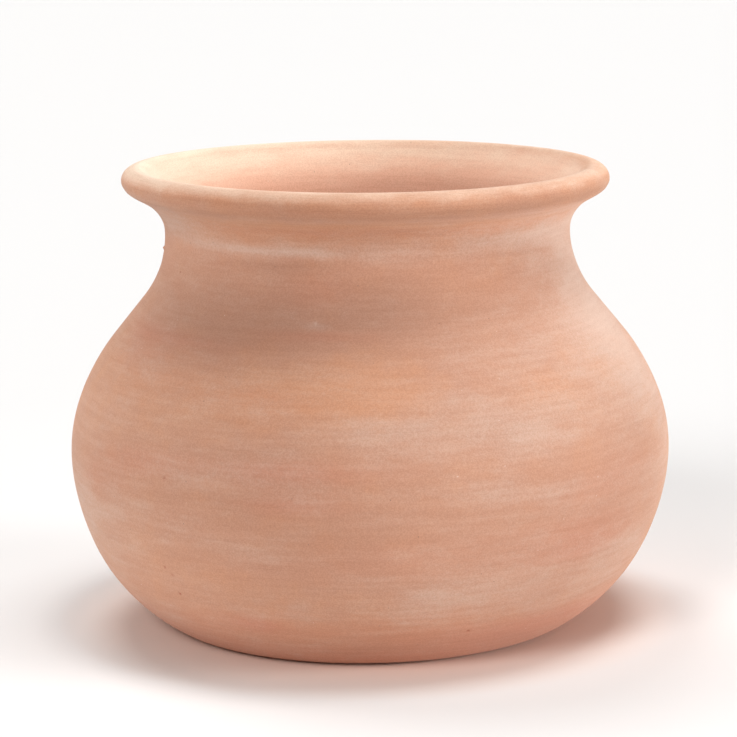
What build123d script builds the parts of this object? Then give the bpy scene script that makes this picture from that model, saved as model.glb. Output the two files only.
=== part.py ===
"""Terracotta belly pot: one wall of thrown clay, turned about +Z.

The frame has its origin at the centre of the base, on the surface that the pot stands on, and +Z
runs up the throwing axis. All lengths are in millimetres and all angles in degrees.
"""
from build123d import *
from math import asin, cos, degrees, hypot, radians, sin
import os

# Overall shape
BELLY_RADIUS = 150.0        # widest point of the body
NECK_RADIUS = 101.0         # narrowest point, under the rim

# Outside of the wall, from the base up
FOOT_ARC = 19.0             # radius of the soft edge round the base
FOOT_SLOPE = 57.5           # how far below level the wall faces where that edge ends
BELLY_ARC = 96.0            # profile radius of the belly
SHOULDER_SLOPE = 39.0       # how far above level the straight shoulder faces
NECK_ARC = 55.0             # hollow curve from the shoulder into the neck
THROAT_ARC = 17.5           # tighter hollow curve from the neck out to the flare
FLARE_SLOPE = 58.5          # how far below level the flare faces
FLARE_RUN = 10.5            # straight part of the flare, up to the rim

# Rolled rim, an oval bead
RIM_HALF_WIDTH = 7.7
RIM_HALF_HEIGHT = 6.1
LIP_SLOPE = 42.0            # how far above level the inside of the lip faces

# Thickness of the clay
WALL = 10.0
FLOOR = 12.0
HEEL_ARC = 30.0             # inside corner between the floor and the belly

# Drain hole through the floor
DRAIN_DIAMETER = 24.0
DRAIN_EDGE = 2.0            # soft edge at each end of the hole

# Places that follow from the sizes above
belly_centre = BELLY_RADIUS - BELLY_ARC
foot_reach = BELLY_ARC - FOOT_ARC
foot_flat = belly_centre + foot_reach * cos(radians(FOOT_SLOPE))
belly_height = FOOT_ARC + foot_reach * sin(radians(FOOT_SLOPE))
lip_facing = 180 - LIP_SLOPE


def facing(angle):
    """Unit vector in the profile plane that faces angle degrees above level."""
    return Vector(cos(radians(angle)), sin(radians(angle)))


def along(angle):
    """Unit vector along a wall that faces angle degrees above level, pointing up the wall."""
    return Vector(-sin(radians(angle)), cos(radians(angle)))


def make_outside():
    """Outside profile, from the edge of the flat base to the underside of the rim.

    Returns the narrowest point of the neck and the end of the flare.
    """
    edge = JernArc((foot_flat, 0), (1, 0), FOOT_ARC, 90 - FOOT_SLOPE)
    belly = JernArc(edge @ 1, edge % 1, BELLY_ARC, FOOT_SLOPE + SHOULDER_SLOPE)
    shoulder_top = NECK_RADIUS + NECK_ARC * (1 - cos(radians(SHOULDER_SLOPE)))
    shoulder_run = ((belly @ 1).X - shoulder_top) / sin(radians(SHOULDER_SLOPE))
    shoulder = Line(belly @ 1, (belly @ 1) + along(SHOULDER_SLOPE) * shoulder_run)
    neck = JernArc(shoulder @ 1, shoulder % 1, NECK_ARC, -SHOULDER_SLOPE)
    throat = JernArc(neck @ 1, neck % 1, THROAT_ARC, -FLARE_SLOPE)
    flare = Line(throat @ 1, (throat @ 1) + along(-FLARE_SLOPE) * FLARE_RUN)
    return neck @ 1, flare @ 1


def rim_reach(angle):
    """How far the oval bead reaches from its centre towards the side that faces angle degrees."""
    return hypot(RIM_HALF_WIDTH * cos(radians(angle)), RIM_HALF_HEIGHT * sin(radians(angle)))


def rim_point(angle):
    """Point of the oval bead that faces angle degrees, from the bead's centre."""
    reach = rim_reach(angle)
    across = RIM_HALF_WIDTH**2 * cos(radians(angle)) / reach
    up = RIM_HALF_HEIGHT**2 * sin(radians(angle)) / reach
    return Vector(across, up)


def make_rim(flare_end):
    """Bead from the underside of the rim over its top. Returns its end inside the lip."""
    centre = flare_end - rim_point(-FLARE_SLOPE)
    first = degrees(asin(rim_point(-FLARE_SLOPE).Y / RIM_HALF_HEIGHT))
    last = 180 - degrees(asin(rim_point(lip_facing).Y / RIM_HALF_HEIGHT))
    EllipticalCenterArc(centre, RIM_HALF_WIDTH, RIM_HALF_HEIGHT, first, arc_size=last - first)
    return centre + rim_point(lip_facing)


def make_inside(lip_start, neck_height):
    """Inside profile, from the lip down to the floor at the axis.

    The inside of the throat is the one arc that starts upright at the neck and that the lip's
    straight slope also touches.
    """
    inner_neck = Vector(NECK_RADIUS - WALL, neck_height)
    throat_arc = (lip_start - inner_neck).dot(facing(lip_facing)) / (1 + cos(radians(lip_facing)))
    throat_centre = inner_neck + Vector(throat_arc, 0)
    lip = Line(lip_start, throat_centre + facing(lip_facing) * throat_arc)
    throat = JernArc(lip @ 1, lip % 1, throat_arc, LIP_SLOPE)
    neck = JernArc(throat @ 1, throat % 1, NECK_ARC + WALL, SHOULDER_SLOPE)
    belly_arc = BELLY_ARC - WALL
    belly_top = Vector(belly_centre, belly_height) + facing(SHOULDER_SLOPE) * belly_arc
    shoulder = Line(neck @ 1, belly_top)
    heel_drop = belly_height - FLOOR - HEEL_ARC
    heel_slope = degrees(asin(heel_drop / (belly_arc - HEEL_ARC)))
    belly = JernArc(belly_top, shoulder % 1, belly_arc, -(SHOULDER_SLOPE + heel_slope))
    heel = JernArc(belly @ 1, belly % 1, HEEL_ARC, -(90 - heel_slope))
    Line(heel @ 1, (0, FLOOR))


def make_pot():
    """The whole wall in one turn about the axis, then the drain hole with soft edges."""
    with BuildPart() as pot:
        with BuildSketch(Plane.XZ):
            with BuildLine():
                Line((0, 0), (foot_flat, 0))
                neck, flare_end = make_outside()
                lip_start = make_rim(flare_end)
                make_inside(lip_start, neck.Y)
                Line((0, FLOOR), (0, 0))
            make_face()
        revolve(axis=Axis.Z)
        Hole(radius=DRAIN_DIAMETER / 2)
        rings = pot.edges().filter_by(GeomType.CIRCLE)
        fillet(rings.sort_by(SortBy.RADIUS)[:2], radius=DRAIN_EDGE)
    return pot


os.makedirs("parts", exist_ok=True)
pot = make_pot()
pot.part.label = "pot"
export_step(pot.part, "parts/pot.step")
print("size", pot.part.bounding_box().size, "volume", round(pot.part.volume))
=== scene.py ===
"""Looks of the thrown terracotta pot: throwing rings, paler clay, grit, small blemishes, painted sheen,
highlight and shade.

Lengths are in metres, in the CAD model's own frame: origin at the centre of the base, +Z up. The
camera looks along +Y, so the front of the pot faces -Y.
"""
from math import asin, atan2, cos, degrees, exp, hypot, pi, radians, sin

import bmesh
import bpy
import numpy as np
from mathutils import Matrix, Vector


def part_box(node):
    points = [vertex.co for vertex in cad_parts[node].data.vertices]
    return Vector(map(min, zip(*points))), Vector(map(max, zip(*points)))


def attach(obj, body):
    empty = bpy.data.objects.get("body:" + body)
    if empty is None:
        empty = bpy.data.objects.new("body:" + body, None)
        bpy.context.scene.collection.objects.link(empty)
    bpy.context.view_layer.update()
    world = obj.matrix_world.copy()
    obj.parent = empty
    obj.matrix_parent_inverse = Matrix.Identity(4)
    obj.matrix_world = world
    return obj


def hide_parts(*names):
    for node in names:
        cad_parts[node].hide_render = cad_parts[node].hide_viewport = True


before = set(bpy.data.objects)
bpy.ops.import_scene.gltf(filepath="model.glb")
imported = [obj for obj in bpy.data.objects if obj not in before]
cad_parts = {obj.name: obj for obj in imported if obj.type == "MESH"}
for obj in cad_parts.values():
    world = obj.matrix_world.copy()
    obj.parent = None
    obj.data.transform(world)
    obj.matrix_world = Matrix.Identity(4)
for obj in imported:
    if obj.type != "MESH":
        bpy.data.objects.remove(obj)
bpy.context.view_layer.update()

MM = 0.001
SEED = 7

# ---------------------------------------------------------------------------------------------
# Section of the wall. The CAD box gives the scale, and the proportions are the CAD model's own.
# ---------------------------------------------------------------------------------------------
POT_LOW, POT_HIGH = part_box("pot")
BELLY_RADIUS = (POT_HIGH[0] - POT_LOW[0]) / 2
UNIT = BELLY_RADIUS / 150           # a millimetre of the CAD model, for a belly of 150
NECK_RADIUS = 101 * UNIT
FOOT_ARC = 19 * UNIT
FOOT_SLOPE = 57.5
BELLY_ARC = 96 * UNIT
SHOULDER_SLOPE = 39.0
NECK_ARC = 55 * UNIT
THROAT_ARC = 17.5 * UNIT
FLARE_SLOPE = 58.5
FLARE_RUN = 10.5 * UNIT
RIM_HALF_WIDTH = 7.7 * UNIT
RIM_HALF_HEIGHT = 6.1 * UNIT
LIP_SLOPE = 42.0
WALL = 10 * UNIT
FLOOR = 12 * UNIT
HEEL_ARC = 30 * UNIT
BASE_RADIUS = 95 * UNIT             # the flat part of the base
DRAIN_RADIUS = 12 * UNIT
DRAIN_EDGE = 2 * UNIT

# Mesh spacing along the wall, and the number of columns round it
OUTSIDE_STEP = 1.25 * MM
RIM_STEP = 0.9 * MM
INSIDE_STEP = 1.8 * MM
FLOOR_STEP = 2.0 * MM
HOLE_STEP = 1.0 * MM
COLUMNS = 180
FEWEST_IN_LINE = 2             # rows that even a short run, arc or oval gets
FEWEST_IN_ARC = 3
FEWEST_IN_OVAL = 8
LAY_RADIUS = BELLY_RADIUS      # the texture wraps the wall as if it were all this wide
UV_MARGIN = 0.002
HIDDEN_SHARE = 0.5             # how much texture the inside and the base get, next to the outside


class Walk:
    """Walks round the wall's section with tangent runs and arcs, the clay always on its left."""

    def __init__(self, r, z):
        self.r, self.z, self.heading = r, z, 0.0
        self.rows = []

    def add(self, r, z, heading, part):
        self.rows.append((r, z, heading, part))

    def line(self, length, step, part):
        """Goes straight on for length, in steps of about step."""
        count = max(FEWEST_IN_LINE, round(length / step))
        for i in range(count):
            run = length * i / count
            r, z = self.r + run * cos(self.heading), self.z + run * sin(self.heading)
            self.add(r, z, self.heading, part)
        self.r += length * cos(self.heading)
        self.z += length * sin(self.heading)

    def arc(self, radius, turn, step, part):
        """Turns by turn degrees along an arc, to the left if positive."""
        turn = radians(turn)
        side = 1 if turn > 0 else -1
        centre_r = self.r - side * radius * sin(self.heading)
        centre_z = self.z + side * radius * cos(self.heading)
        count = max(FEWEST_IN_ARC, round(abs(turn) * radius / step))
        for i in range(count + 1):
            heading = self.heading + turn * i / count
            r = centre_r + side * radius * sin(heading)
            z = centre_z - side * radius * cos(heading)
            if i < count:
                self.add(r, z, heading, part)
        self.r, self.z, self.heading = r, z, heading

    def oval(self, half_width, half_height, turn, step, part):
        """Follows an upright oval through turn degrees of heading, to the left."""
        first, last = self.heading, self.heading + radians(turn)

        def spot(heading):
            across, up = half_width * sin(heading), -half_height * cos(heading)
            reach = hypot(across, up)
            return half_width * across / reach, half_height * up / reach

        start = spot(first)
        length = abs(turn) / 360 * pi * (half_width + half_height)
        count = max(FEWEST_IN_OVAL, round(length / step))
        for i in range(count + 1):
            heading = first + (last - first) * i / count
            at = spot(heading)
            r, z = self.r + at[0] - start[0], self.z + at[1] - start[1]
            if i < count:
                self.add(r, z, heading, part)
        self.r, self.z, self.heading = r, z, heading


def run_to(walk, r):
    """Length of the straight run that brings the walk to radius r."""
    return (r - walk.r) / cos(walk.heading)


def wall_section():
    """Rows (r, z, heading, part) round the whole section, from the drain hole's lower edge."""
    belly_centre = BELLY_RADIUS - BELLY_ARC
    foot_reach = BELLY_ARC - FOOT_ARC
    foot_flat = belly_centre + foot_reach * cos(radians(FOOT_SLOPE))
    belly_height = FOOT_ARC + foot_reach * sin(radians(FOOT_SLOPE))
    hole_flat = DRAIN_RADIUS + DRAIN_EDGE
    shoulder_top = NECK_RADIUS + NECK_ARC * (1 - cos(radians(SHOULDER_SLOPE)))
    walk = Walk(hole_flat, 0.0)
    walk.line(foot_flat - hole_flat, FLOOR_STEP, "base")
    walk.arc(FOOT_ARC, 90 - FOOT_SLOPE, OUTSIDE_STEP, "outside")
    walk.arc(BELLY_ARC, FOOT_SLOPE + SHOULDER_SLOPE, OUTSIDE_STEP, "outside")
    walk.line(run_to(walk, shoulder_top), OUTSIDE_STEP, "outside")
    walk.arc(NECK_ARC, -SHOULDER_SLOPE, OUTSIDE_STEP, "outside")
    neck_height = walk.z
    walk.arc(THROAT_ARC, -FLARE_SLOPE, OUTSIDE_STEP, "outside")
    walk.line(FLARE_RUN, OUTSIDE_STEP, "outside")
    walk.oval(RIM_HALF_WIDTH, RIM_HALF_HEIGHT, FLARE_SLOPE + 180 - LIP_SLOPE, RIM_STEP, "rim")
    inner_neck = NECK_RADIUS - WALL
    lip_facing = radians(180 - LIP_SLOPE)
    lip_reach = (walk.r - inner_neck) * cos(lip_facing) + (walk.z - neck_height) * sin(lip_facing)
    inner_throat = lip_reach / (1 + cos(lip_facing))
    throat_edge = inner_neck + inner_throat * (1 - cos(radians(LIP_SLOPE)))
    walk.line(run_to(walk, throat_edge), OUTSIDE_STEP, "lip")
    walk.arc(inner_throat, LIP_SLOPE, OUTSIDE_STEP, "lip")
    walk.arc(NECK_ARC + WALL, SHOULDER_SLOPE, INSIDE_STEP, "inside")
    belly_arc = BELLY_ARC - WALL
    belly_top = belly_centre + belly_arc * cos(radians(SHOULDER_SLOPE))
    walk.line(run_to(walk, belly_top), INSIDE_STEP, "inside")
    heel_slope = degrees(asin((belly_height - FLOOR - HEEL_ARC) / (belly_arc - HEEL_ARC)))
    walk.arc(belly_arc, -(SHOULDER_SLOPE + heel_slope), INSIDE_STEP, "inside")
    walk.arc(HEEL_ARC, -(90 - heel_slope), INSIDE_STEP, "inside")
    walk.line(walk.r - hole_flat, FLOOR_STEP, "floor")
    walk.arc(DRAIN_EDGE, 90, HOLE_STEP, "hole")
    walk.line(walk.z - DRAIN_EDGE, HOLE_STEP, "hole")
    walk.arc(DRAIN_EDGE, 90, HOLE_STEP, "hole")
    return walk.rows


# ---------------------------------------------------------------------------------------------
# Random fields round the pot, seeded so that every run gives the same ones
# ---------------------------------------------------------------------------------------------
def smooth_step(t):
    return t * t * (3 - 2 * t)


def field(angle, run, waves, pitch, seed):
    """Soft random values from -1 to 1, with so many waves round the pot and a pitch along the wall."""
    rng = np.random.default_rng(SEED * 1000 + seed)
    along = run / pitch
    lattice = rng.uniform(-1, 1, (int(along.max()) + 3, waves))
    column = (angle / (2 * pi) % 1) * waves
    i, j = np.floor(along).astype(int), np.floor(column).astype(int)
    u, v = smooth_step(along - i), smooth_step(column - j)
    j0, j1 = j % waves, (j + 1) % waves
    low = lattice[i, j0] * (1 - v) + lattice[i, j1] * v
    high = lattice[i + 1, j0] * (1 - v) + lattice[i + 1, j1] * v
    return low * (1 - u) + high * u


def layered(angle, run, waves, pitch, seed, layers=3):
    """Sum of fields, each twice as fine and half as strong as the one before."""
    total = sum(field(angle, run, waves * 2**k, pitch / 2**k, seed + k) / 2**k for k in range(layers))
    return total / sum(0.5**k for k in range(layers))


def bump(value, centre, width):
    """A soft bump of height 1 at centre."""
    return np.exp(-(((value - centre) / width) ** 2))


# ---------------------------------------------------------------------------------------------
# The wall as a grid: rows along the section, columns round the pot from the back
# ---------------------------------------------------------------------------------------------
section = wall_section()
row_r = np.array([row[0] for row in section])
row_z = np.array([row[1] for row in section])
row_heading = np.array([row[2] for row in section])
row_part = np.array([row[3] for row in section])
steps = np.hypot(np.diff(row_r, append=row_r[0]), np.diff(row_z, append=row_z[0]))
row_run = np.concatenate([[0], np.cumsum(steps)[:-1]])
ROWS = len(section)


def share(*parts, blur=6 * MM):
    """How far each row belongs to the named parts, faded over blur metres at their ends."""
    inside = np.isin(row_part, parts).astype(float)
    weight = np.exp(-(((row_run[:, None] - row_run[None, :]) / blur) ** 2)) * steps[None, :]
    return (weight @ inside / weight.sum(1))[:, None]


turn = np.arange(COLUMNS)[None, :] * (2 * pi / COLUMNS)
angle = pi / 2 + turn + np.zeros((ROWS, 1))
run = row_run[:, None] + np.zeros((1, COLUMNS))
height = row_z[:, None] + np.zeros((1, COLUMNS))
on_outside, on_rim = share("outside"), share("rim", blur=3 * MM)
on_inside, on_floor = share("inside"), share("floor")
on_base, on_hole = share("base", blur=2 * MM), share("hole", blur=1.5 * MM)
RIM_TOP = row_z.max()
FLARE_END = row_run[np.argmax(row_part == "rim")]   # how far along the section the bead starts
above_belly = (row_part == "outside") & (row_z > RIM_TOP / 2)
NECK_HEIGHT = row_z[above_belly][np.argmin(row_r[above_belly])]
facing_up = -np.cos(row_heading)[:, None]       # 1 where the wall faces up, -1 where it faces down
facing_out = np.sin(row_heading)[:, None]       # 1 where it faces away from the axis

# What the hand leaves in the wall. Sides are in radians from +X towards +Y.
FINGER_PITCH = 10.5 * MM
KNUCKLE_PITCH = 5.1 * MM
WIRE_PITCH = 7.5 * MM
WIRE_CENTRE = (-230 * MM, 60 * MM)      # the middle of the arcs that the wire left
LEAN_HEIGHTS = [0, 60, 120, 180, 229]   # in the CAD model's millimetres
LEAN_AMOUNTS = [0, 0.6, 0.7, 1.3, 0.4]  # how far the wall's middle lies towards +X there
RIM_TILT = radians(-0.62)
TILT_HEIGHT = 240 * UNIT                # where the tilt would reach its full angle
PLUMP_SIDE = 0.0                        # where the wall is fuller under the rim
DIPPED_SIDE = 2.2                       # where the rim dips, besides its tilt
STEADY_HEIGHT = 20 * MM                 # the wobble grows from none at the base to all of it here


def toward(side):
    """1 on the side of the pot that faces side, fading to 0 on the opposite side."""
    return 0.5 + 0.5 * np.cos(angle - side)


def spiral(pitch, phase=0.0):
    """A ring pattern that climbs one pitch for each turn of the wheel, from -1 to 1."""
    return np.sin(2 * pi * run / pitch + angle + phase)


def throwing_marks():
    """How far the potter's fingers and ribs left each point out of the true section."""
    marks = 0.07 * MM * layered(angle, run, 5, 17 * MM, 10) * on_outside
    marks += 0.022 * MM * layered(angle, run, 7, 5 * MM, 20) * on_outside
    marks += 0.10 * MM * layered(angle, run, 9, 9 * MM, 30) * on_rim
    finger = spiral(FINGER_PITCH) + 0.35 * spiral(KNUCKLE_PITCH, 1.3)
    depth = 0.75 + 0.35 * field(angle, run, 6, 30 * MM, 40)
    below_neck = 1 / (1 + np.exp((height - NECK_HEIGHT + 14 * MM) / (4 * MM)))
    marks += 0.34 * MM * finger * depth * on_inside * below_neck
    marks += 0.28 * MM * finger * depth * on_floor
    marks += 0.05 * MM * layered(angle, run, 8, 4 * MM, 50) * (on_inside + on_floor)
    return marks


def under_bead():
    """The clay left under the rolled rim, which fills the hollow between the bead and the throat."""
    fill = 0.8 * MM * bump(run, FLARE_END - 1 * MM, 6 * MM)
    fill += 0.7 * MM * bump(run, FLARE_END - 15 * MM, 9 * MM)
    groove = 0.15 * MM * bump(run, FLARE_END + 2.5 * MM, 1.2 * MM)
    return fill - groove


def swelling(amount, middle, reach):
    """Extra radius of amount millimetres round the height called middle."""
    return amount * MM * bump(height, middle * UNIT, reach * UNIT)


def out_of_round():
    """How much larger the radius is than true, from the hand and from drying."""
    fuller = swelling(0.9, 98, 24) + swelling(-0.4, 52, 18)
    fuller += swelling(0.7, 207, 11) * toward(PLUMP_SIDE) ** 2
    climb = height / RIM_TOP
    oval = 0.20 * MM * climb * np.cos(2 * angle + 0.8 + 1.5 * climb)
    three = 0.16 * MM * np.sin(3 * angle + 2.2 * climb)
    five = 0.10 * MM * np.cos(5 * angle + 1.9 - 3.1 * climb)
    return fuller + (oval + three + five) * np.clip(height / STEADY_HEIGHT, 0, 1)


def cut_base():
    """The wire that cut the pot from the wheel left shallow shell-like arcs, always upwards."""
    from_x = radius * np.cos(angle) - WIRE_CENTRE[0]
    from_y = radius * np.sin(angle) - WIRE_CENTRE[1]
    turns = np.hypot(from_x, from_y) / WIRE_PITCH
    arcs = 0.5 + 0.5 * np.sin(2 * pi * turns + 2 * field(angle, run, 5, 40 * MM, 60))
    hollow = 0.5 * MM * (1 - np.clip(radius / BASE_RADIUS, 0, 1) ** 2)
    return (0.28 * MM * arcs + hollow) * on_base


def lean(height):
    """How far the wall's middle lies towards +X at a height."""
    return np.interp(height / UNIT, LEAN_HEIGHTS, LEAN_AMOUNTS) * MM


def uneven_top():
    """How the rim rises and dips round the pot, fading out down the neck."""
    wave = 0.22 * MM * np.cos(2 * angle - 0.4) - 0.45 * MM * toward(DIPPED_SIDE) ** 2
    return wave * np.clip((height - 0.8 * RIM_TOP) / (0.2 * RIM_TOP), 0, 1)


radius = row_r[:, None] + np.zeros((1, COLUMNS))
off = throwing_marks() + under_bead()
ragged = 0.35 * MM * layered(angle, run, 8, 5 * MM, 70) * on_hole
z = height + facing_up * off + cut_base() + uneven_top()
radius = radius + facing_out * (off + ragged) + out_of_round()
x = radius * np.cos(angle) + lean(height)
y = radius * np.sin(angle)
z = np.maximum(z + RIM_TILT * (z / TILT_HEIGHT) ** 2 * x, 0.0)


# ---------------------------------------------------------------------------------------------
# Where the fired clay is paler, warmer or redder, and where light and shade are painted into its colour
# ---------------------------------------------------------------------------------------------
# Each patch: azimuth from the front towards +X and height of its middle, its half width in degrees,
# its half height in millimetres, and its strength
# Paler clay, and painted sheen and light on the right side, along both edges and across the neck
SHEEN_AND_PALE_PATCHES = [
    (46, 160, 24, 32, 0.22), (48, 203, 32, 12, 0.50), (-62, 207, 18, 10, 0.45), (0, 200, 24, 8, 0.22),
    (-50, 66, 14, 12, 0.22), (68, 140, 14, 46, 0.36), (-28, 199, 24, 2.4, 0.42), (-12, 166, 3, 1.6, 0.43),
    (5, 121, 10, 7, 0.30), (29, 116, 13, 12, 0.32), (20, 92, 11, 6, 0.30), (40, 90, 10, 5, 0.24),
    (-38, 99, 8, 4, 0.10), (-72, 70, 14, 22, 0.28), (-22, 66, 12, 8, 0.20), (11, 46, 9, 11, 0.20),
    (78, 182, 18, 34, 0.43), (60, 48, 12, 12, 0.16), (80, 120, 10, 50, 0.20),
    (120, 150, 20, 18, 0.31), (165, 95, 26, 9, 0.31), (205, 178, 22, 5, 0.37), (235, 60, 16, 16, 0.25),
    (180, 40, 20, 8, 0.22), (140, 190, 30, 3, 0.31),
]
# Warmer clay; the patch low at the front, at 24 mm, is painted bounce light from the floor on the foot
WARM_AND_BOUNCE_PATCHES = [
    (2, 139, 15, 14, 0.55), (-18, 138, 14, 14, 0.60), (-52, 139, 26, 13, 0.5), (38, 132, 9, 12, 0.55),
    (-8, 212, 60, 4, 0.5), (62, 138, 12, 8, 0.3), (0, 24, 34, 10, 0.5),
    (150, 128, 28, 16, 0.6), (215, 120, 24, 14, 0.6), (100, 92, 18, 10, 0.4),
]
# Painted shade: the rim's shadow on the shoulder and neck, the darker foot edge at the front right, and
# more like them round the back
PAINTED_SHADE_PATCHES = [
    (-26, 167, 38, 15, 0.52), (4, 176, 14, 12, 0.35), (-24, 192, 14, 3, 0.35), (-50, 148, 24, 26, 0.38),
    (62, 106, 10, 22, 0.20), (38, 10, 18, 9, 0.50), (46, 24, 18, 12, 0.25),
    (142, 150, 26, 14, 0.35), (215, 110, 30, 18, 0.35), (175, 45, 22, 14, 0.30),
]
RUST_PATCHES = [
    (-18, 132, 14, 12, 0.30), (-45, 142, 20, 12, 0.30), (-44, 102, 14, 8, 0.45), (-62, 86, 14, 12, 0.40),
    (-12, 182, 15, 12, 0.45), (-12, 162, 18, 3, 0.4), (-52, 156, 30, 4, 0.35), (-14, 90, 12, 6, 0.50),
    (-10, 104, 19, 7, 0.3), (44, 66, 14, 20, 0.35), (54, 94, 12, 14, 0.2), (-25, 26, 5, 4, 0.5),
    (0, 60, 26, 16, 0.20), (45, 16, 28, 10, 0.6), (0, 26, 30, 8, 0.30), (38, 132, 9, 10, 0.25),
    (-62, 150, 14, 14, 0.35), (42, 56, 14, 10, 0.35), (-17, 104, 10, 6, 0.30),
    (170, 165, 30, 8, 0.4), (130, 70, 18, 14, 0.45), (220, 92, 24, 7, 0.45), (190, 18, 50, 8, 0.5),
]
LIT_LIP_SIDE = radians(150)      # where the lip's inside gets the painted highlight most, from +X towards +Y
DIM_LIP = radians(40)         # where the throat gets painted shade


def patches(spots):
    """Sum of soft oval patches on the outside of the wall, half as strong on the rim."""
    total = np.zeros_like(angle)
    for azimuth, middle, wide, tall, strength in spots:
        away = (np.degrees(angle) + 90 - azimuth + 180) % 360 - 180
        oval = (away / wide) ** 2 + ((height / UNIT - middle) / tall) ** 2
        total += strength * np.exp(-oval)
    return total * (on_outside + 0.5 * on_rim)


def clay_marks():
    """Weight of each change in the clay at each point, by the name that the material reads it by.

    In order: paler clay with painted sheen; warmer clay with painted bounce light on the foot; redder
    clay;
    painted shade; the inside, painted lighter; painted highlight on rim and lip; more fine dark lines.
    """
    sheltered = bump(run, FLARE_END - 16 * MM, 7 * MM)
    near_foot = np.exp(-height / (20 * MM)) * on_outside
    inner = share("lip", "inside", "floor", blur=3 * MM)
    near_lip = inner * bump(height, RIM_TOP, 16 * MM)
    in_throat = inner * np.clip((RIM_TOP - height) / (12 * MM) - 0.7, 0, 1)
    rim_top = on_rim * np.clip(facing_up, 0, 1)
    rim_below = on_rim * np.clip(0.40 - facing_up, 0, 1)
    lit_side = toward(LIT_LIP_SIDE)

    # paler clay and painted sheen
    sheen_and_pale = patches(SHEEN_AND_PALE_PATCHES) + 0.25 * layered(angle, run, 6, 34 * MM, 80)
    # warmer clay, and in one patch painted bounce light on the foot
    warm_and_bounce = patches(WARM_AND_BOUNCE_PATCHES) + 0.60 * sheltered + 0.5 * on_rim
    warm_and_bounce += 0.20 * layered(angle, run, 5, 40 * MM, 90)
    rust = patches(RUST_PATCHES) + 0.25 * on_rim + 0.35 * sheltered + 1.1 * near_foot + 0.6 * on_base
    rust += 0.20 * layered(angle, run, 5, 30 * MM, 100)
    # painted highlight on the rim's top and the top of the inside, strongest on its lit side
    painted_highlight = (0.55 + 0.32 * lit_side) * near_lip + (0.45 + 0.40 * lit_side**2) * rim_top
    # painted shade: the patches, the bead's underside and one side of the throat
    painted_shade = patches(PAINTED_SHADE_PATCHES) + 0.7 * rim_below + 0.5 * in_throat * toward(DIM_LIP) ** 3
    return {
        "sheen_and_pale": sheen_and_pale, "warm_and_bounce": warm_and_bounce, "rust": rust, "painted_shade": painted_shade, "inner": inner, "painted_highlight": painted_highlight,
        "ribbed": on_rim + 0.5 * on_inside,
    }


def paint_marks(mesh):
    """Stores the weights on the mesh, before it is cut finer at the blemishes."""
    for name, value in clay_marks().items():
        weight = np.clip(np.broadcast_to(value, angle.shape), -1, 1).astype(np.float32).ravel()
        mesh.attributes.new(name, "FLOAT", "POINT").data.foreach_set("value", weight)


# ---------------------------------------------------------------------------------------------
# Mesh of the wall, with its surface coordinates
# ---------------------------------------------------------------------------------------------
def corner_values():
    """Row and column of each face corner, unwrapped at the seams."""
    i, j = np.meshgrid(np.arange(ROWS), np.arange(COLUMNS), indexing="ij")
    rows = np.stack([i, i, i + 1, i + 1], -1).reshape(-1, 4)
    columns = np.stack([j, j + 1, j + 1, j], -1).reshape(-1, 4)
    return rows, columns


def make_wall():
    """The pot's mesh, closed right round its section."""
    rows, columns = corner_values()
    points = np.stack([x, y, z], -1).reshape(-1, 3)
    quads = rows % ROWS * COLUMNS + columns % COLUMNS
    mesh = bpy.data.meshes.new("thrown_wall")
    mesh.from_pydata(points.tolist(), [], quads.tolist())
    rows, columns = rows.ravel(), columns.ravel()

    turned = pi / 2 + columns * (2 * pi / COLUMNS)
    whole_run = np.append(row_run, row_run[-1] + steps[-1])
    lay = np.stack([LAY_RADIUS * np.cos(turned), LAY_RADIUS * np.sin(turned), whole_run[rows]], -1)
    mesh.attributes.new("lay", "FLOAT_VECTOR", "CORNER").data.foreach_set("vector", lay.ravel())

    shown = np.where(np.isin(row_part, ("outside", "rim", "lip")), 1.0, HIDDEN_SHARE) * steps
    up = np.append(0, np.cumsum(shown)) / shown.sum()
    layout = np.stack([columns / COLUMNS, up[rows]], -1) * (1 - 2 * UV_MARGIN) + UV_MARGIN
    mesh.uv_layers.new(name="OFBake").data.foreach_set("uv", layout.ravel())
    paint_marks(mesh)
    piece = bpy.data.objects.new("thrown_wall", mesh)
    bpy.context.collection.objects.link(piece)
    return piece


# ---------------------------------------------------------------------------------------------
# Blemishes: the mesh is cut finer round each one, then pushed in or out
# ---------------------------------------------------------------------------------------------
# Each: azimuth from the front towards +X and height of its middle, its radius and how far it stands
# out, in millimetres, and how much paler it is (darker below 0)
# The pale specks at 15.5 and 45.5 degrees are painted highlights on tiny crumbs
BLEMISHES = [
    (-43.0, 50.5, 0.8, -0.25, -0.6), (-41.5, 47.5, 1.3, -0.15, -0.4), (-41.5, 37.0, 0.8, -0.45, -0.8),
    (-40.0, 96.0, 0.9, -0.30, -0.5), (21.0, 21.0, 0.9, -0.35, -0.6), (-62.0, 183.0, 0.6, -0.25, -0.7),
    (-85.5, 189.5, 0.8, 0.70, -0.7), (-13.0, 167.0, 1.3, 0.08, 0.25), (15.5, 101.0, 0.4, 0.12, 0.6),
    (45.5, 91.0, 0.4, 0.12, 0.6), (118.0, 128.0, 1.1, -0.40, -0.6), (149.0, 60.0, 0.9, -0.35, -0.5),
    (171.0, 176.0, 1.1, 0.30, 0.4), (196.0, 105.0, 1.4, -0.25, -0.4), (233.0, 84.0, 0.8, -0.40, -0.6),
    (252.0, 150.0, 0.7, 0.30, 0.8), (96.0, 52.0, 1.0, -0.30, -0.5), (208.0, 31.0, 1.2, -0.40, -0.6),
]
BLEMISH_CUTS = 8
CUT_MARGIN = 2.2 * MM       # how far round a blemish the mesh is cut finer


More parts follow.
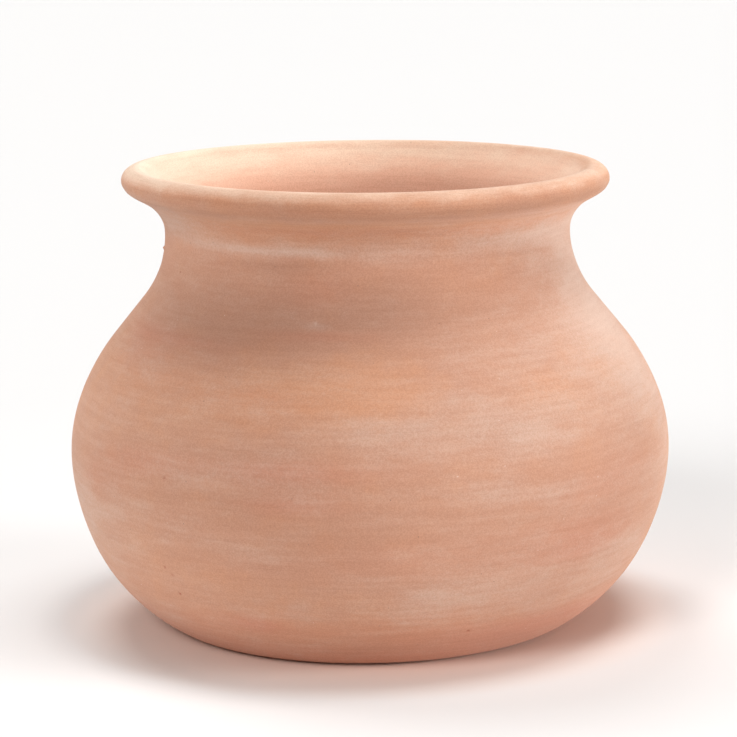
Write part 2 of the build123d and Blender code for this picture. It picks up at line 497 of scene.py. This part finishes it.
def wall_point(azimuth, middle):
    """Point of the outside at an azimuth and a height, and the way that the wall faces there."""
    row = np.argmin(np.where(row_part == "outside", np.abs(row_z - middle), np.inf))
    a = radians(azimuth - 90)
    column = (a - pi / 2) / (2 * pi) * COLUMNS % COLUMNS
    j, part = int(column), column % 1
    here, beside = (Vector((x[row, k], y[row, k], z[row, k])) for k in (j, (j + 1) % COLUMNS))
    outward = facing_out[row, 0]
    facing = Vector((cos(a) * outward, sin(a) * outward, facing_up[row, 0]))
    return here.lerp(beside, part), facing


def cut_finer(mesh, centre, reach):
    """Divides the faces within reach of a point. Returns their vertices, laid on the round wall."""
    near = [face for face in mesh.faces if (face.calc_center_median() - centre).length < reach]
    edges = list({edge for face in near for edge in face.edges})
    made = bmesh.ops.subdivide_edges(mesh, edges=edges, cuts=BLEMISH_CUTS, use_grid_fill=True)
    close = {item for item in made["geom"] if isinstance(item, bmesh.types.BMVert)}
    column_turn = 2 * pi / COLUMNS
    for vertex in close:
        middle = lean(vertex.co.z)
        a = atan2(vertex.co.y, vertex.co.x - middle)
        from_half = ((a - pi / 2) / column_turn % 1 - 0.5) * column_turn
        rounder = cos(from_half) / cos(column_turn / 2)
        vertex.co.x = middle + (vertex.co.x - middle) * rounder
        vertex.co.y *= rounder
    return close


def press_blemishes(wall_mesh):
    """Small pits, crumbs and lime spots; two pale specks are painted highlights on crumbs."""
    mesh = bmesh.new()
    mesh.from_mesh(wall_mesh)
    spot = mesh.verts.layers.float.new("spot")
    for azimuth, middle, size, out, paler in BLEMISHES:
        centre, facing = wall_point(azimuth, middle * UNIT)
        for vertex in cut_finer(mesh, centre, CUT_MARGIN + size * MM):
            weight = exp(-(((vertex.co - centre).length / (size * MM)) ** 2))
            vertex.co += facing * (out * MM * weight)
            vertex[spot] += paler * weight
    for face in mesh.faces:
        face.smooth = True
    mesh.to_mesh(wall_mesh)
    mesh.free()


# ---------------------------------------------------------------------------------------------
# Terracotta
# ---------------------------------------------------------------------------------------------
class Shading:
    """Short names for the shader nodes that the clay is made of."""

    def __init__(self, material):
        self.tree = material.node_tree
        self.shader = self.tree.nodes["Principled BSDF"]
        self.place = self.tree.nodes.new("ShaderNodeTexCoord").outputs["Object"]

    def connect(self, socket, value):
        if isinstance(value, bpy.types.NodeSocket):
            self.tree.links.new(value, socket)
        else:
            socket.default_value = value

    def attribute(self, name, output="Fac"):
        node = self.tree.nodes.new("ShaderNodeAttribute")
        node.attribute_name = name
        return node.outputs[output]

    def scaled(self, vector, across, along):
        """Divides lengths by across round the pot and by along up the wall."""
        node = self.tree.nodes.new("ShaderNodeVectorMath")
        node.operation = "MULTIPLY"
        self.connect(node.inputs[0], vector)
        node.inputs[1].default_value = (1 / across, 1 / across, 1 / along)
        return node.outputs["Vector"]

    def noise(self, vector, across, along=None, detail=2.0, roughness=0.5):
        """Noise with features about across long round the pot and along high."""
        node = self.tree.nodes.new("ShaderNodeTexNoise")
        node.inputs["Scale"].default_value = 1.0
        node.inputs["Detail"].default_value = detail
        node.inputs["Roughness"].default_value = roughness
        self.connect(node.inputs["Vector"], self.scaled(vector, across, along or across))
        return node.outputs["Fac"]

    def math(self, operation, a, b=0.0, c=0.0):
        node = self.tree.nodes.new("ShaderNodeMath")
        node.operation = operation
        for socket, value in zip(node.inputs, (a, b, c)):
            self.connect(socket, value)
        return node.outputs["Value"]

    def total(self, start, *weighted):
        """start plus each value times its weight."""
        for value, weight in weighted:
            start = self.math("MULTIPLY_ADD", value, weight, start)
        return start

    def remap(self, value, low, high, to_low=0.0, to_high=1.0):
        """A smooth step from to_low at low to to_high at high, where low may be the larger."""
        node = self.tree.nodes.new("ShaderNodeMapRange")
        node.interpolation_type = "SMOOTHSTEP"
        for name, at in (("From Min", low), ("From Max", high), ("To Min", to_low), ("To Max", to_high)):
            node.inputs[name].default_value = at
        self.connect(node.inputs["Value"], value)
        return node.outputs["Result"]

    def mix(self, factor, a, b, blend="MIX"):
        """Colour a, blended with colour b by factor. The node's colour sockets have these numbers."""
        node = self.tree.nodes.new("ShaderNodeMix")
        node.data_type = "RGBA"
        node.blend_type = blend
        for socket, value in zip((node.inputs[0], node.inputs[6], node.inputs[7]), (factor, a, b)):
            self.connect(socket, value)
        return node.outputs[2]

    def raised(self, relief):
        """Normal of a surface raised by relief metres."""
        node = self.tree.nodes.new("ShaderNodeBump")
        node.inputs["Strength"].default_value = 1.0
        node.inputs["Distance"].default_value = 1.0
        self.connect(node.inputs["Height"], relief)
        return node.outputs["Normal"]

    def specks(self, pitch, size, rarity):
        """Round spots, size cells in radius, in a random share 1 - rarity of the cells pitch apart."""
        node = self.tree.nodes.new("ShaderNodeTexVoronoi")
        node.inputs["Scale"].default_value = 1.0
        self.connect(node.inputs["Vector"], self.scaled(self.place, pitch, pitch))
        chance = self.tree.nodes.new("ShaderNodeTexWhiteNoise")
        self.connect(chance.inputs["Vector"], node.outputs["Position"])
        chosen = self.math("GREATER_THAN", chance.outputs["Value"], rarity)
        return self.math("MULTIPLY", chosen, self.remap(node.outputs["Distance"], size, 0.5 * size))


# Colours of the clay, with painted light and shade among them. The painted shade and SMUDGE multiply what
# is under them.
CLAY = (0.615, 0.335, 0.225, 1)
# warm clay, also used for painted bounce light on the foot
WARM_CLAY_AND_BOUNCE = (0.680, 0.352, 0.205, 1)
RUST = (0.640, 0.290, 0.185, 1)
# painted shade
PAINTED_SHADE = (0.78, 0.78, 0.80, 1)
# paler clay, also used for painted sheen
SHEEN_AND_PALE_CLAY = (0.690, 0.500, 0.405, 1)
# the inside painted lighter than the clay, for light on the inner wall
PAINTED_LIGHT_INSIDE = (0.930, 0.580, 0.415, 1)
# painted highlight
PAINTED_HIGHLIGHT = (0.930, 0.760, 0.600, 1)
SMUDGE = (0.88, 0.83, 0.80, 1)
LIME = (0.93, 0.85, 0.78, 1)
GRIT = (0.27, 0.15, 0.11, 1)
DUST = (1.0, 0.93, 0.88, 1)           # sheen of the dry, dusty surface


def clay_material():
    """Unglazed terracotta: streaks left by the wheel, mottling, paler clay, sand, lime, grit, painted
    light and shade.
    """
    material = bpy.data.materials.new("terracotta")
    material.use_nodes = True
    clay = Shading(material)
    lay = clay.attribute("lay", "Vector")

    # Streaks drawn out round the pot, from hand-wide bands down to the sponge's fine lines, then
    # the clay's own mottling, sand and grain
    band = clay.noise(lay, 70 * MM, 12 * MM, detail=4.0, roughness=0.5)
    cloud = clay.noise(lay, 26 * MM, 9 * MM, detail=6.0, roughness=0.65)
    streak = clay.noise(lay, 45 * MM, 2.6 * MM, detail=3.0)
    line = clay.noise(lay, 40 * MM, 0.5 * MM, detail=1.0)
    mottle = clay.noise(clay.place, 22 * MM, detail=6.0, roughness=0.65)
    sand = clay.noise(clay.place, 1.6 * MM, detail=2.0, roughness=0.7)
    grain = clay.noise(clay.place, 0.7 * MM, detail=2.0, roughness=0.7)

    # The patches, with their edges broken up by the streaks and the mottling
    # warmer clay, and painted bounce light on the foot
    warmer = clay.total(clay.attribute("warm_and_bounce"), (mottle, 1.4), (sand, 0.5))
    colour = clay.mix(clay.remap(warmer, 0.75, 1.75), CLAY, WARM_CLAY_AND_BOUNCE)
    redder = clay.total(clay.attribute("rust"), (band, 0.35), (mottle, 0.3))
    colour = clay.mix(clay.remap(redder, 0.35, 1.35), colour, RUST)
    # paler clay and painted sheen
    paler = clay.total(clay.attribute("sheen_and_pale"), (streak, 0.12), (cloud, 0.8), (sand, 0.4))
    colour = clay.mix(clay.remap(paler, 0.50, 1.50), colour, SHEEN_AND_PALE_CLAY)
    # the inside, painted lighter for the light on it
    colour = clay.mix(clay.math("MULTIPLY", clay.attribute("inner"), 0.85), colour, PAINTED_LIGHT_INSIDE)
    # painted highlight on the rim and lip
    highlit = clay.total(clay.attribute("painted_highlight"), (cloud, 0.6))
    colour = clay.mix(clay.remap(highlit, 0.35, 1.35), colour, PAINTED_HIGHLIGHT)
    # painted shade
    colour = clay.mix(clay.attribute("painted_shade"), colour, PAINTED_SHADE, blend="MULTIPLY")

    # Fine changes of value: sandy grain, then the dark lines that the sponge drew
    streaky = clay.remap(streak, 0.2, 0.8, 0.0, 0.25)
    grainy = clay.remap(grain, 0.2, 0.8, 0.0, 0.75)
    fine = clay.math("ADD", streaky, grainy)
    colour = clay.mix(clay.remap(fine, 0.80, 0.15), colour, SMUDGE, blend="MULTIPLY")
    drawn = clay.total(line, (clay.attribute("ribbed"), -0.06))
    colour = clay.mix(clay.remap(drawn, 0.38, 0.23, 0.0, 0.4), colour, SMUDGE, blend="MULTIPLY")

    # Sparse lime specks and dark grit
    colour = clay.mix(clay.specks(2.6 * MM, 0.09, 0.975), colour, LIME)
    colour = clay.mix(clay.specks(3.4 * MM, 0.09, 0.955), colour, GRIT)

    # Pits and crumbs are darker, lime spots paler, and two pale specks are painted highlights
    spot = clay.attribute("spot")
    colour = clay.mix(clay.remap(spot, 0.0, -1.0), colour, RUST, blend="MULTIPLY")
    colour = clay.mix(clay.remap(spot, 0.0, 1.0), colour, LIME)

    clay.connect(clay.shader.inputs["Base Color"], colour)
    clay.connect(clay.shader.inputs["Roughness"], clay.remap(fine, 0.2, 0.8, 0.96, 0.82))
    clay.shader.inputs["Diffuse Roughness"].default_value = 0.8
    clay.shader.inputs["Specular IOR Level"].default_value = 0.3
    clay.shader.inputs["Sheen Weight"].default_value = 0.12
    clay.shader.inputs["Sheen Roughness"].default_value = 0.5
    clay.shader.inputs["Sheen Tint"].default_value = DUST

    # Relief too fine for the mesh
    relief = clay.math("MULTIPLY", grain, 0.07 * MM)
    relief = clay.total(relief, (line, 0.02 * MM), (streak, 0.015 * MM))
    clay.connect(clay.shader.inputs["Normal"], clay.raised(relief))
    return material


# ---------------------------------------------------------------------------------------------
# The pot, on the one body that the part has
# ---------------------------------------------------------------------------------------------
wall = make_wall()
press_blemishes(wall.data)
wall.data.materials.append(clay_material())
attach(wall, "root")
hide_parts("pot")


# ---------------------------------------------------------------------------------------------
# Floor, camera and light
# ---------------------------------------------------------------------------------------------
FLOOR_HALF = 15.0                     # half the width of the floor
# Each colour of the floor, after the distance from the middle at which it is reached
# Painted shadow round the pot, pink with the pot's bounce light
PAINTED_SHADOW_PAPER = (0.10, (0.88, 0.70, 0.60, 1))
PALE_PAPER = (0.16, (0.81, 0.79, 0.778, 1))
GREY_PAPER = (0.60, (0.76, 0.75, 0.742, 1))

CAMERA_PLACE = (0.0007, -1.45, 0.3991)
CAMERA_DOWN = radians(10.69)
CAMERA_ROLL = radians(-0.979)
CAMERA_SENSOR = 36.0                  # width in millimetres, as the lens is
CAMERA_LENS = 142.8

AMBIENT_LIGHT = 0.2
WHITE = (1, 1, 1, 1)
BACKDROP = (0.96, 0.955, 0.95, 1)


def make_floor():
    """A wide sheet of pale paper, painted pinker and darker close to the pot: a painted shadow with the
    pot's bounce light.
    """
    mesh = bpy.data.meshes.new("floor")
    corners = [(-1, -1, 0), (1, -1, 0), (1, 1, 0), (-1, 1, 0)]
    mesh.from_pydata([Vector(corner) * FLOOR_HALF for corner in corners], [], [(0, 1, 2, 3)])
    floor = bpy.data.objects.new("floor", mesh)
    bpy.context.collection.objects.link(floor)
    material = bpy.data.materials.new("paper")
    material.use_nodes = True
    tree = material.node_tree
    shader = tree.nodes["Principled BSDF"]
    shader.inputs["Roughness"].default_value = 0.9
    shader.inputs["Specular IOR Level"].default_value = 0.1
    place = tree.nodes.new("ShaderNodeTexCoord")
    distance = tree.nodes.new("ShaderNodeVectorMath")
    distance.operation = "LENGTH"
    ramp = tree.nodes.new("ShaderNodeValToRGB")
    stops = ramp.color_ramp.elements
    stops.new(GREY_PAPER[0])          # a new ramp has only two
    for stop, (reach, colour) in zip(stops, (PAINTED_SHADOW_PAPER, PALE_PAPER, GREY_PAPER)):
        stop.position = reach
        stop.color = colour
    tree.links.new(place.outputs["Object"], distance.inputs[0])
    tree.links.new(distance.outputs["Value"], ramp.inputs["Fac"])
    tree.links.new(ramp.outputs["Color"], shader.inputs["Base Color"])
    mesh.materials.append(material)


make_floor()


def add_camera():
    """A long lens in front of the pot, above its rim and looking slightly down."""
    data = bpy.data.cameras.new("camera")
    data.sensor_width = CAMERA_SENSOR
    data.lens = CAMERA_LENS
    camera = bpy.data.objects.new("camera", data)
    bpy.context.collection.objects.link(camera)
    camera.location = CAMERA_PLACE
    pitch = Matrix.Rotation(pi / 2 - CAMERA_DOWN, 3, "X")
    camera.rotation_euler = (pitch @ Matrix.Rotation(CAMERA_ROLL, 3, "Z")).to_euler()
    bpy.context.scene.camera = camera


add_camera()


def sun(name, azimuth, elevation, spread, strength):
    """Even light from far away, spread wide enough for soft shadows.

    The angles are in degrees, and azimuth runs from the front towards +X.
    """
    data = bpy.data.lights.new(name, "SUN")
    data.angle = radians(spread)
    data.energy = strength
    lamp = bpy.data.objects.new(name, data)
    bpy.context.collection.objects.link(lamp)
    a, e = radians(azimuth), radians(elevation)
    back = Vector((sin(a) * cos(e), -cos(a) * cos(e), sin(e)))
    lamp.rotation_euler = back.to_track_quat("Z", "Y").to_euler()


sun("key", azimuth=90, elevation=77, spread=22, strength=1.27)
sun("back", azimuth=-150, elevation=64, spread=22, strength=1.12)
sun("front_left", azimuth=-32, elevation=35, spread=24, strength=1.50)
sun("right", azimuth=79, elevation=9, spread=24, strength=2.80)


def make_world():
    """Soft light from all round, and a plain pale backdrop where the camera sees it."""
    world = bpy.data.worlds.new("studio")
    bpy.context.scene.world = world
    world.use_nodes = True
    tree = world.node_tree
    ambient = tree.nodes["Background"]
    ambient.inputs["Color"].default_value = WHITE
    ambient.inputs["Strength"].default_value = AMBIENT_LIGHT
    seen = tree.nodes.new("ShaderNodeBackground")
    seen.inputs["Color"].default_value = BACKDROP
    path = tree.nodes.new("ShaderNodeLightPath")
    mix = tree.nodes.new("ShaderNodeMixShader")
    tree.links.new(path.outputs["Is Camera Ray"], mix.inputs["Fac"])
    tree.links.new(ambient.outputs["Background"], mix.inputs[1])
    tree.links.new(seen.outputs["Background"], mix.inputs[2])
    tree.links.new(mix.outputs["Shader"], tree.nodes["World Output"].inputs["Surface"])


make_world()
bpy.context.scene.view_settings.view_transform = "Standard"
